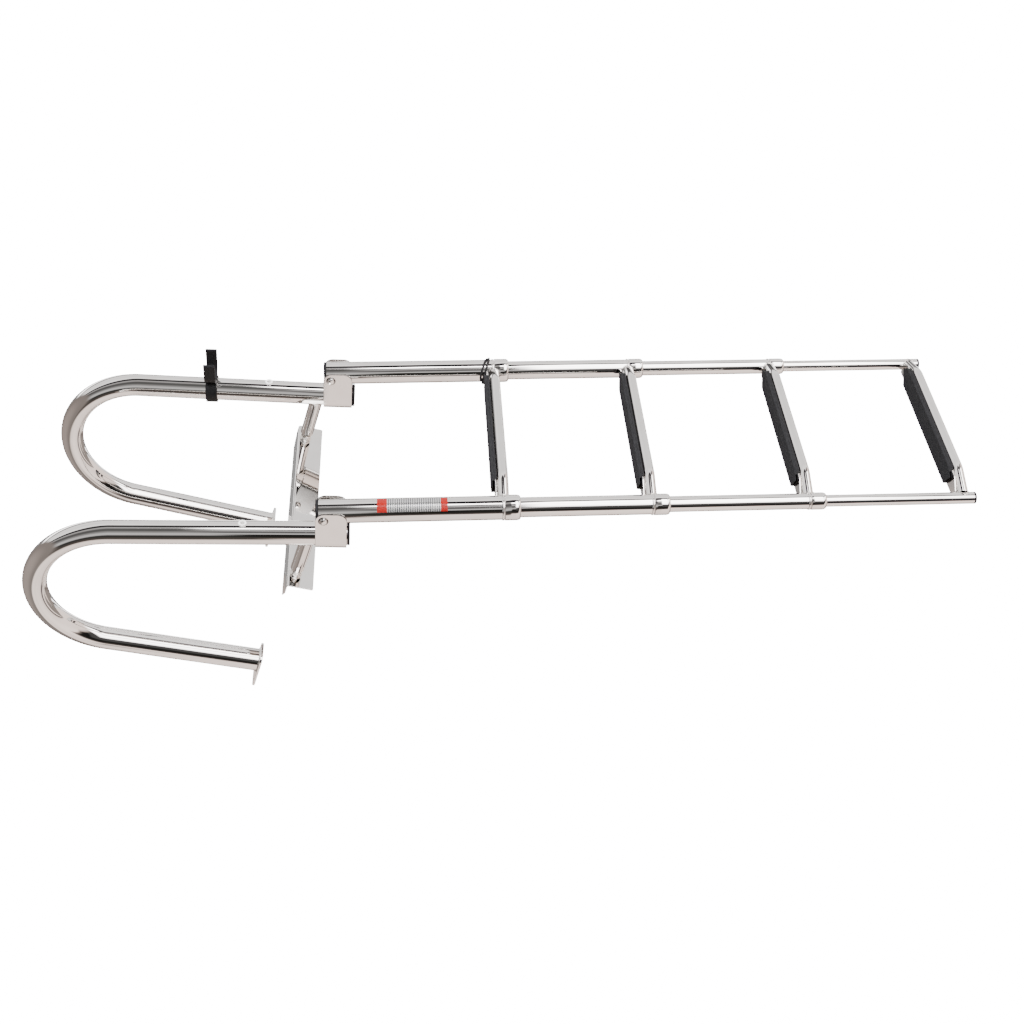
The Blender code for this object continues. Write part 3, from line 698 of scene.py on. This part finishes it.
def make_rail_clip():
    """One outline for the ring round the rail, the neck and the open jaw beside it."""
    side = SIDES["right"]
    ring_centre = leg_point(side, CLIP_LEVEL)
    jaw = Vector((side * HALF_SPACING - ring_centre.x, RAIL_OFFSET))
    ring_bore, jaw_bore = TUBE_RADII[0] + 0.0002, TUBE_RADII[0] + 0.0006
    outer = jaw_bore + CLIP_WALL
    finger_top, flare, tip, bevel = 0.026, 0.002, 0.001, 0.0035
    neck_low, neck_high = 62, -52
    finger = [(outer + flare, finger_top - bevel), (outer - tip, finger_top), (jaw_bore, finger_top - bevel)]
    outline = arc((0, 0), outer, neck_low, -180 - neck_low, 64)
    outline += arc(jaw, outer, 180 - neck_high, 180, 14)
    outline += [(jaw.x - x, jaw.y + y) for x, y in finger]
    outline += arc(jaw, jaw_bore, 180, 360, 44)
    outline += [(jaw.x + x, jaw.y + y) for x, y in finger[::-1]]
    outline += arc(jaw, outer, 0, neck_high, 14)
    cutter_low, cutter_length = -0.04, 0.1
    cutter = rod(ring_bore, cutter_length, TUBE_SIDES)
    shape = carve(prism(outline[::-1], CLIP_WIDTH), cutter, lifted(cutter_low))
    place = LEG_FRAME @ Matrix.Translation(ring_centre) @ lifted(-CLIP_WIDTH / 2)
    replaced, slot = ("rail_clip",), "black_plastic"
    add_piece("stow_clip", shape, black_moulding, "mounting_frame", place, replaced, slot, bevel=0.0009)


def make_strut(label, side):
    """A tube from the rail's leg to the bracket, and its weld. Gives back where its foot stands."""
    leg_direction = LEG_FRAME.to_3x3() @ rail_axes(side)[0]
    reference = LEG_FRAME @ rail_reference(side)
    top = reference + leg_direction * ((STRUT_HEIGHT - reference.z) / leg_direction.z)
    toe_in = 0.007
    foot = Vector((top.x - side * toe_in, TRANSOM_Y - BRACKET_THICKNESS, STRUT_HEIGHT))
    run = (foot - top).normalized()
    path = [top + run * (TUBE_RADII[0] - WALL), foot - run * STRUT_FOOT_LENGTH]
    shape = pipe(path, [run, run], Z_AXIS, STRUT_RADIUS)
    add_piece("strut_tube_" + label, shape, polished_steel, "mounting_frame", IN_PLACE, ("strut_" + label,))
    line = saddle_loop(top, run, STRUT_RADIUS, reference, leg_direction, lambda height: TUBE_RADII[0])
    add_piece("strut_weld_" + label, weld_bead(line, 0.0016), weld_steel, "mounting_frame")
    return foot


def make_strut_foot(label, foot):
    """A threaded stud with its washer, and a hexagon nut."""
    washer, slope, stud, thread_depth, pitch = 0.0105, 0.0006, 0.0050, 0.0007, 0.00125
    top = STRUT_WASHER_TOP
    place = along(foot, (0, -1, 0))
    profile = [(0, 0), (washer, 0), (washer, top * 0.7), (washer - slope, top), (stud, top)]
    level, stud_end = top, STRUT_FOOT_LENGTH + 0.006
    while level < stud_end:
        profile += [(stud, level + pitch * 0.15), (stud - thread_depth, level + pitch * 0.6)]
        level += pitch
    profile += [(stud, level), (0, level)]
    shape = turned(profile, SMALL_SIDES, closed=False)
    replaced = ("strut_foot_" + label,)
    add_piece("strut_stud_" + label, shape, weld_steel, "mounting_frame", place, replaced, sharp=20)

    nut, nut_top, chamfer, turn = 0.0085, 0.0085, 0.0009, 0.3
    profile = [(0, top), (nut - chamfer, top), (nut, top + chamfer * 0.6)]
    profile += [(nut, nut_top - chamfer * 0.6), (nut - chamfer, nut_top), (0, nut_top)]
    shape = turned(profile, SMALL_SIDES, closed=False)
    shape = carve(shape, rod(nut, 0.02, 6), Matrix.Rotation(turn, 4, "Z"), "INTERSECT")
    add_piece("strut_nut_" + label, shape, weld_steel, "mounting_frame", place, bevel=0.0002)


def make_transom_bracket():
    """A bent plate, with chamfered corners on the deck leaf and round ones on the transom leaf."""
    thickness, bend = BRACKET_THICKNESS, 0.004
    low, inboard = thickness - TRANSOM_LEAF, TRANSOM_Y + DECK_LEAF
    outer_centre = (TRANSOM_Y - thickness + bend, thickness - bend)
    outline = [(TRANSOM_Y, low)] + arc(outer_centre, bend - thickness, 180, 90, 8)
    outline += [(inboard, 0), (inboard, thickness)] + arc(outer_centre, bend, 90, 180, 12)
    outline += [(TRANSOM_Y - thickness, low)]
    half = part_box("transom_bracket")[1].x
    stand_up = Matrix(((0, 0, 1, -half), (1, 0, 0, 0), (0, 1, 0, 0), (0, 0, 0, 1)))
    shape = prism(outline[::-1], 2 * half)
    bmesh.ops.transform(shape, matrix=stand_up, verts=shape.verts)

    depth, reach = 0.06, 0.02
    chamfer_across, chamfer_deep, radius = 0.016, 0.022, 0.003
    outside = half + reach
    face_deck = lifted(-depth / 2)
    face_transom = Matrix(((1, 0, 0, 0), (0, 0, 1, TRANSOM_Y - depth / 2), (0, 1, 0, 0), (0, 0, 0, 1)))
    for side in SIDES.values():
        deck_corner = [(half - chamfer_across, inboard), (half, inboard - chamfer_deep)]
        deck_corner += [(outside, inboard - chamfer_deep), (outside, inboard + reach)]
        deck_corner += [(half - chamfer_across, inboard + reach)]
        transom_corner = arc((half - radius, low + radius), radius, 270, 360, 12)
        transom_corner += [(outside, low + radius), (outside, low - reach), (half - radius, low - reach)]
        for corner_outline, face in ((deck_corner, face_deck), (transom_corner, face_transom)):
            mirrored = [(side * x, y) for x, y in corner_outline]
            shape = carve(shape, prism(mirrored[::side], depth), face)
    hole_radius, hole_pitch, hole_inboard, holes = 0.0028, 0.100, 0.002, 4
    for step in range(holes):
        place = Matrix.Translation(((step - (holes - 1) / 2) * hole_pitch, hole_inboard, -depth / 2))
        shape = carve(shape, rod(hole_radius, depth), place)
    replaced = ("transom_bracket",)
    add_piece("bracket_plate", shape, bracket_steel, "mounting_frame", IN_PLACE, replaced, bevel=0.0005)


# ---------------------------------------------------------------- ladder sections
def section_body(index):
    return f"section_{index + 1}"


def stile_matrix(side, level):
    return LADDER_FRAME @ Matrix.Translation((side * HALF_SPACING, 0, level))


def make_stile(index, label, side):
    radius = TUBE_RADII[index]
    top = STILE_TOP if index == 0 else SECTION_ENDS[index - 1] - SECTION_OVERLAP
    length = SECTION_ENDS[index] - END_SETBACK - top
    round_off = 0.0004
    profile = [(radius - WALL, 0), (radius - round_off, 0), (radius, round_off)]
    profile += [(radius, length - round_off), (radius - round_off, length), (radius - WALL, length)]
    name = f"stile_tube_{index + 1}_{label}"
    replaced = (f"stile_{index + 1}_{label}",)
    add_piece(name, turned(profile), polished_steel, section_body(index), stile_matrix(side, top), replaced)


def make_collar(index, label, side):
    """A turned sleeve: a fine step at its top, a rolled groove and a rounded lower lip."""
    bore = TUBE_RADII[index] + 0.0001
    outer = TUBE_RADII[index] + COLLAR_PROUD
    next_bore = TUBE_RADII[index + 1] + 0.0006
    groove, groove_half, groove_at = 0.0009, 0.0014, 0.0036
    lip_length, lip_depth, lip_edge, seat = 0.0065, outer - next_bore - 0.0006, 0.0004, 0.003
    profile = [(bore, 0), (outer - 0.0008, 0), (outer - 0.0003, 0.0002), (outer, 0.0008)]
    steps = 12
    for i in range(steps + 1):
        turn = 2 * math.pi * i / steps
        level = groove_at + groove_half * (2 * i / steps - 1)
        profile.append((outer - groove * (1 - math.cos(turn)) / 2, level))
    for i in range(steps + 1):
        turn = math.pi / 2 * i / steps
        across = outer - lip_depth * (1 - math.cos(turn))
        profile.append((across, COLLAR_LENGTH - lip_length * (1 - math.sin(turn))))
    profile.append((next_bore, COLLAR_LENGTH - lip_edge))
    profile += [(next_bore, COLLAR_LENGTH - seat), (bore, COLLAR_LENGTH - seat)]
    name = f"collar_ring_{index + 1}_{label}"
    place = stile_matrix(side, SECTION_ENDS[index] - COLLAR_LENGTH)
    replaced = (f"collar_{index + 1}_{label}",)
    add_piece(name, turned(profile), polished_steel, section_body(index), place, replaced)


def finish_guide_bush(index, label):
    """The guide bushes stay as CAD nodes, and only get their material."""
    material = nylon(f"guide_bush_finish_{index + 1}_{label}")
    for material_slot in frame["nodes"][f"guide_bush_{index + 1}_{label}"].material_slots:
        material_slot.material = material


def rung_path():
    """Half of a rung's centre line as (x, y) points with tangents, from the middle to the right stile."""
    slope = math.atan2(RUNG_SET_OUT, RUNG_BEND_AT)
    bend_x = HALF_SPACING - RUNG_BEND_AT
    trim = RUNG_BEND_RADIUS * math.tan(slope / 2)
    centre = (bend_x - trim, RUNG_SET_OUT - RUNG_BEND_RADIUS)
    steps = 14
    points = arc(centre, RUNG_BEND_RADIUS, 90, 90 - math.degrees(slope), steps)
    tangents = [(math.cos(slope * i / steps), -math.sin(slope * i / steps)) for i in range(steps + 1)]
    points.append((HALF_SPACING, 0))
    tangents.append(tangents[-1])
    return points, tangents


def make_rung(index):
    half_points, half_tangents = rung_path()
    end = half_tangents[-1]
    inside = TUBE_RADII[index] - WALL
    half_points[-1] = tuple(Vector(half_points[-1]) - Vector(end) * inside)
    points = [Vector((-x, y, 0)) for x, y in half_points[::-1]] + [Vector((x, y, 0)) for x, y in half_points]
    tangents = [Vector((x, -y, 0)) for x, y in half_tangents[::-1]]
    tangents += [Vector((x, y, 0)) for x, y in half_tangents]
    shape = pipe(points, tangents, Z_AXIS, RUNG_RADIUS)
    body = section_body(index)
    place = LADDER_FRAME @ lifted(RUNG_LEVELS[index])
    add_piece(f"rung_tube_{index + 1}", shape, crosswise_steel, body, place, (f"rung_{index + 1}",))

    collar_top = SECTION_ENDS[index] - COLLAR_LENGTH - RUNG_LEVELS[index]

    def skin(height):
        proud = COLLAR_PROUD if index < LAST and height > collar_top else 0
        return TUBE_RADII[index] + proud

    for label, side in SIDES.items():
        base = Vector((side * HALF_SPACING, 0, 0))
        direction = Vector((-side * end[0], -end[1], 0))
        line = saddle_loop(base, direction, RUNG_RADIUS, base, Z_AXIS, skin)
        add_piece(f"rung_weld_{index + 1}_{label}", weld_bead(line, 0.0012), weld_steel, body, place)


def make_tread_plate(index):
    half = HALF_SPACING - TUBE_RADII[index]
    back, shoulder, front, notch = TREAD_BACK + 0.002, 0.006, RUNG_SET_OUT + 0.004, 0.018
    outline = mirrored_outline([(half, back), (half, shoulder), (half - notch, front)])
    gap = 0.0003
    place = LADDER_FRAME @ lifted(RUNG_LEVELS[index] - RUNG_RADIUS - TREAD_PLATE_THICKNESS - gap)
    shape = prism(outline, TREAD_PLATE_THICKNESS)
    replaced = (f"tread_plate_{index + 1}",)
    name = f"tread_strip_{index + 1}"
    add_piece(name, shape, satin_steel, section_body(index), place, replaced, bevel=0.0004)


def tread_profile():
    """The tread's (y, z) section: ribbed top, rounded edges, a lip in front and a thin skirt behind."""
    back, front, top = TREAD_BACK, TREAD_FRONT, -TREAD_TOP
    under = -(RUNG_RADIUS + 0.0006 + TREAD_PLATE_THICKNESS)
    skirt_bottom, skirt_wall, back_fillet, nose = 0.004, 0.0028, 0.0035, 0.0022
    points = [(back + skirt_wall, skirt_bottom), (back + 0.0004, skirt_bottom), (back, skirt_bottom - 0.0006)]
    points += arc((back + back_fillet, top + back_fillet), back_fillet, 180, 270, 8)
    rib_start, rib_end, ribs, rib_depth = back + back_fillet + 0.001, front - 0.0075, 13, 0.00045
    falls, low, rises = 0.18, 0.42, 0.60
    pitch = (rib_end - rib_start) / ribs
    for i in range(ribs):
        start = rib_start + i * pitch
        points += [(start, top), (start + pitch * falls, top + rib_depth)]
        points += [(start + pitch * low, top + rib_depth), (start + pitch * rises, top)]
    groove = ((0, 0), (0.0008, 0.0010), (0.0022, 0.0010), (0.0030, 0))
    points += [(rib_end + along_y, top + deep) for along_y, deep in groove]
    points += arc((front - nose, top + nose), nose, 270, 360, 8)
    lip_front, lip_back, lip_bottom = front - 0.0008, RUNG_SET_OUT + 0.0046, -0.0090
    points += [(front, under - 0.0006), (lip_front, under), (lip_front, lip_bottom), (lip_back, lip_bottom)]
    points += [(lip_back, under), (back + skirt_wall, under)]
    return points


def make_tread(index):
    """An extruded step, hollow under its top and cut at an angle at both ends."""
    wide, narrow, shoulder = TREAD_HALF_WIDTH, 0.124, 0.016
    across = Matrix(((0, 0, 1, -wide), (1, 0, 0, 0), (0, 1, 0, 0), (0, 0, 0, 1)))
    shape = prism(tread_profile()[::-1], 2 * wide)
    bmesh.ops.transform(shape, matrix=across, verts=shape.verts)
    plan = mirrored_outline([(narrow, TREAD_BACK), (wide, shoulder), (narrow, TREAD_FRONT)])
    plan_low, plan_depth = -0.03, 0.05
    shape = carve(shape, prism(plan, plan_depth), lifted(plan_low), "INTERSECT")
    hollow_low, hollow_high, hollow_radius = (-0.0045, -0.0160), (0.0215, -0.0128), 0.0012
    hollow = rounded_rectangle(hollow_low, hollow_high, hollow_radius, 4)
    shape = carve(shape, prism(hollow[::-1], 2 * wide), across)
    name = f"tread_step_{index + 1}"
    place = LADDER_FRAME @ lifted(RUNG_LEVELS[index])
    replaced = (f"tread_{index + 1}",)
    add_piece(name, shape, tread_rubber, section_body(index), place, replaced, "black_plastic", sharp=25)


def make_end_plugs():
    for label, side in SIDES.items():
        place = LADDER_FRAME @ along(Vector((side * HALF_SPACING, 0, STILE_TOP)), -Z_AXIS)
        shape = cap_shape(TUBE_RADII[0], CAP_RIM, 0.003, fillet=0.0007)
        replaced = ("stile_top_cap_" + label,)
        name = "stile_top_plug_" + label
        add_piece(name, shape, black_moulding, "section_1", place, replaced, "black_plastic")
        place = stile_matrix(side, SECTION_ENDS[LAST] - END_SETBACK)
        shape = cap_shape(TUBE_RADII[LAST], 0.0032, PLUG_DEPTH)
        replaced = ("foot_cap_" + label,)
        name = "foot_plug_" + label
        add_piece(name, shape, black_moulding, "section_4", place, replaced, "black_plastic")


def make_lanyard_loop():
    """A loop of thin cord round the right stile, with a second strand over its front and a small knot."""
    cord, slack, above_rung = 0.0018, 0.0002, 0.0125
    tilt, low_side = math.radians(16), math.radians(47)
    reach = TUBE_RADII[0] + cord + slack
    rise = reach * math.tan(tilt)
    steps = 120
    turns = [2 * math.pi * i / steps for i in range(steps)]
    place = stile_matrix(SIDES["right"], RUNG_LEVELS[0] - above_rung)

    def round_stile(angle, below=0.0, stand_off=0.0):
        """A point on the slanting line that the cord follows round the stile."""
        radius = reach + stand_off
        height = rise * math.cos(angle - low_side) - below
        return Vector((radius * math.cos(angle), radius * math.sin(angle), height))

    shape = loop_tube([round_stile(turn) for turn in turns], lambda i: cord)
    add_piece("tie_loop", shape, braided_cord, "section_1", place, ("lanyard_loop",), "black_cord")

    # The second strand leaves the first at one angle and comes back to it at the other.
    leaves, returns, gap, roundness = math.radians(70), math.radians(200), 0.0064, 0.55
    points = []
    for turn in turns:
        angle = leaves + (returns - leaves) * (1 - math.cos(turn)) / 2
        points.append(round_stile(angle, gap * max(math.sin(turn), 0.0) ** roundness))
    shape = loop_tube(points, lambda i: cord * 0.95)
    add_piece("tie_strand", shape, braided_cord, "section_1", place, (), "black_cord")

    size, flatness = 0.0009, 1.2
    points = []
    for turn in turns:
        swing = 2 + math.cos(3 * turn)
        x, y, z = swing * math.cos(2 * turn), swing * math.sin(2 * turn), flatness * math.sin(3 * turn)
        points.append(Vector((x, y, z)) * size)
    shape = knot_tube(points, cord * 0.85)
    place = place @ Matrix.Translation(round_stile(returns, 0.0, cord))
    add_piece("tie_knot", shape, braided_cord, "section_1", place, (), "black_cord")


def make_label_band():
    """A plain printed band on the outboard face of the left stile."""
    middle, half_width, steps, proud = 110, 38, 24, 0.00012
    edge = arc((0, 0), TUBE_RADII[0] + proud, middle - half_width, middle + half_width, steps)
    shape = bmesh.new()
    low, high = [[shape.verts.new((x, y, z)) for x, y in edge] for z in (0.0, LABEL_END - LABEL_START)]
    for i in range(steps):
        shape.faces.new((low[i], low[i + 1], high[i + 1], high[i]))
    place = stile_matrix(SIDES["left"], LABEL_START)
    add_piece("plain_label_band", shape, label_film, "section_1", place, (), "white_nylon")


# ---------------------------------------------------------------- camera, light and stage
def make_camera():
    data = bpy.data.cameras.new("camera")
    data.sensor_width = 36
    data.lens = 50.56
    camera = bpy.data.objects.new("camera", data)
    bpy.context.collection.objects.link(camera)
    right = Vector((-0.05757, -0.31581, -0.94708))
    forward = Vector((0.72586, 0.63807, -0.25689))
    matrix = Matrix((right, right.cross(forward), -forward)).transposed().to_4x4()
    matrix.translation = Vector((-1.7923, -1.6643, 0.2713))
    camera.matrix_world = matrix
    bpy.context.scene.camera = camera


class World(Graph):
    """The shader of the world."""

    def __init__(self):
        world = bpy.data.worlds.new("studio")
        bpy.context.scene.world = world
        world.use_nodes = True
        world.node_tree.nodes.clear()
        super().__init__(world.node_tree, "Generated")

    def toward(self, direction):
        """How far the view direction points along another, from -1 to 1."""
        inputs = {0: self.coordinates, 1: direction}
        return self.node("VectorMath", inputs, operation="DOT_PRODUCT").outputs["Value"]

    def fade(self, value, start, end):
        """0 up to start, 1 from end, and smooth between."""
        inputs = {"Value": value, "From Min": start, "From Max": end}
        return self.node("MapRange", inputs, interpolation_type="SMOOTHSTEP").outputs["Result"]


def grey(level, warmth=0.0):
    return (level, level * (1 - 0.5 * warmth), level * (1 - 0.75 * warmth))


def tinted(level, degrees):
    """Warm below the ladder, where it would see the floor, and neutral above it."""
    return grey(level, 0.30 if degrees < -40 else 0.04)


def make_world():
    """White for the eye, and strips of light and dark that lie along the ladder for the steel."""
    world = World()
    facing, above = (-0.726, -0.638, 0.257), (0.685, -0.702, 0.192)
    ladder, room = (0.0, -0.292, -0.956), (-0.124, 0.689, 0.708)
    strength, above_bend, below_bend, feet_start = 20.0, 0.65, -2.0, 0.38
    down = world.toward(ladder)
    turn = world.math("ARCTAN2", world.toward(above), world.toward(facing))
    # Toward both ends of the ladder the strips bend round it.
    upward = world.math("MAXIMUM", world.math("MULTIPLY", down, -1.0), 0.0)
    turn = world.math("MULTIPLY_ADD", upward, above_bend, turn)
    beyond_feet = world.math("MAXIMUM", world.math("SUBTRACT", down, feet_start), 0.0)
    turn = world.math("MULTIPLY_ADD", beyond_feet, below_bend, turn)
    share = world.math("MULTIPLY_ADD", turn, 1 / (2 * math.pi), 0.5)

    # Each strip is (degrees round the ladder from the camera's side, level).
    under = ((-180, 0.066), (-120, 0.080))
    over = ((72, 0.095), (95, 0.070), (130, 0.085), (180, 0.062))
    rail_strips = (
        *under, (-84, 0.090), (-74, 0.080), (-68, 0.040), (-62, 0.0048), (-47, 0.0038), (-36, 0.0020),
        (-29, 0.0032), (-24, 0.022), (-19, 0.038), (-7, 0.036), (-2, 0.020), (8, 0.014), (15, 0.0065),
        (29, 0.0058), (36, 0.014), (41, 0.026), (47, 0.026), (51, 0.0022), (66, 0.0020), *over,
    )
    upper_strips = (
        *under, (-60, 0.090), (-55, 0.0050), (-46, 0.0045), (-42, 0.0013), (-17, 0.0011), (-14, 0.040),
        (-6, 0.036), (-4, 0.0085), (13, 0.0085), (15, 0.042), (22, 0.038), (24, 0.0065), (32, 0.0070),
        (34, 0.50), (42, 0.50), (45, 0.0012), (67, 0.0012), *over,
    )
    below_middle = (
        *under, (-60, 0.105), (-54, 0.0140), (-47, 0.0012), (-32, 0.0008), (-26, 0.0040), (-7, 0.0050),
        (-3, 0.050), (4, 0.36),
    )
    lower_strips = (
        *below_middle, (26, 0.60), (32, 0.34), (38, 0.60), (51, 0.60), (56, 0.0042), (67, 0.0042), *over,
    )
    foot_strips = (
        *below_middle, (18, 0.44), (28, 0.12), (33, 0.60), (39, 0.60), (42, 0.0055), (60, 0.0060), *over,
    )
    back_strips = (
        (-180, 0.020), (-170, 0.012), (-160, 0.085), (-150, 0.075), (-146, 0.0060), (-137, 0.0045),
        (-133, 0.030), (-122, 0.080), (122, 0.080), (130, 0.060), (134, 0.0050), (141, 0.0060),
        (145, 0.085), (156, 0.30), (162, 0.060), (170, 0.010), (180, 0.020),
    )

    def strips(levels):
        stops = [((degrees + 180) / 360, tinted(level, degrees)) for degrees, level in levels]
        return world.ramp(share, stops)

    colour = world.mix(world.fade(down, -0.060, -0.020), strips(rail_strips), strips(upper_strips))
    colour = world.mix(world.fade(down, 0.060, 0.085), colour, strips(lower_strips))
    colour = world.mix(world.fade(down, 0.28, 0.33), colour, strips(foot_strips))
    colour = world.mix(world.fade(down, 0.62, 0.82), colour, tinted(0.090, -90))
    behind = world.fade(world.math("ABSOLUTE", turn), math.radians(114), math.radians(120))
    colour = world.mix(behind, colour, strips(back_strips))
    nearness = world.toward(room)
    brown = world.mix(world.fade(nearness, 0.75, 1.0), grey(0.0150, 0.28), grey(0.0240, 0.32))
    colour = world.mix(world.fade(nearness, 0.62, 0.72), colour, brown)

    for_steel = world.node("Background", {"Color": colour, "Strength": strength}).outputs[0]
    for_eye = world.node("Background", {"Color": (1, 1, 1, 1), "Strength": strength}).outputs[0]
    seen = world.node("LightPath", {}).outputs["Is Camera Ray"]
    both = world.node("MixShader", {"Fac": seen, 1: for_steel, 2: for_eye}).outputs[0]
    world.node("OutputWorld", {"Surface": both})


def make_floor():
    """A plain white floor just under the feet. The steel reflects the studio, not the floor."""
    foot = CAD_BOX[0][2]
    half_size, gap = 30.0, 0.02
    shape = bmesh.new()
    bmesh.ops.create_grid(shape, x_segments=1, y_segments=1, size=half_size)
    floor = new_object("floor", shape)
    floor.location = (0, 0, foot - gap)
    white = {"Base_Color": (0.9, 0.9, 0.9, 1), "Emission_Color": (1, 1, 1, 1), "Emission_Strength": 16.0}
    floor.data.materials.append(Material("floor_white").finish(Roughness=0.9, **white))
    floor.visible_glossy = False
    floor.visible_diffuse = False
    floor.visible_shadow = False


def make_lights():
    """One broad soft key over the outboard side, for the plastic and nylon."""
    data = bpy.data.lights.new("key", "AREA")
    data.shape = "RECTANGLE"
    data.size = 2.5
    data.size_y = 1.5
    data.energy = 260
    key = bpy.data.objects.new("key", data)
    bpy.context.collection.objects.link(key)
    start, aim = Vector((-0.6, -2.6, 1.9)), Vector((0, -0.2, -0.3))
    key.matrix_world = along(start, start - aim)
    key.visible_glossy = False
    key.visible_camera = False


# ---------------------------------------------------------------- the whole scene
def main():
    make_camera()
    make_world()
    make_floor()
    make_lights()

    make_transom_bracket()
    for label, side in SIDES.items():
        make_deck_flange(label, make_handrail(label, side))
        make_handrail_cap(label, side)
        make_hinge_bracket(label, side)
        make_hinge_bolt(label, side)
        make_rest_grommet(label, side)
        make_strut_foot(label, make_strut(label, side))
    make_rail_clip()
    for index in range(LAST + 1):
        for label, side in SIDES.items():
            make_stile(index, label, side)
            if index < LAST:
                make_collar(index, label, side)
            if index > 0:
                finish_guide_bush(index, label)
        make_rung(index)
        make_tread_plate(index)
        make_tread(index)
    make_end_plugs()
    make_lanyard_loop()
    make_label_band()


main()
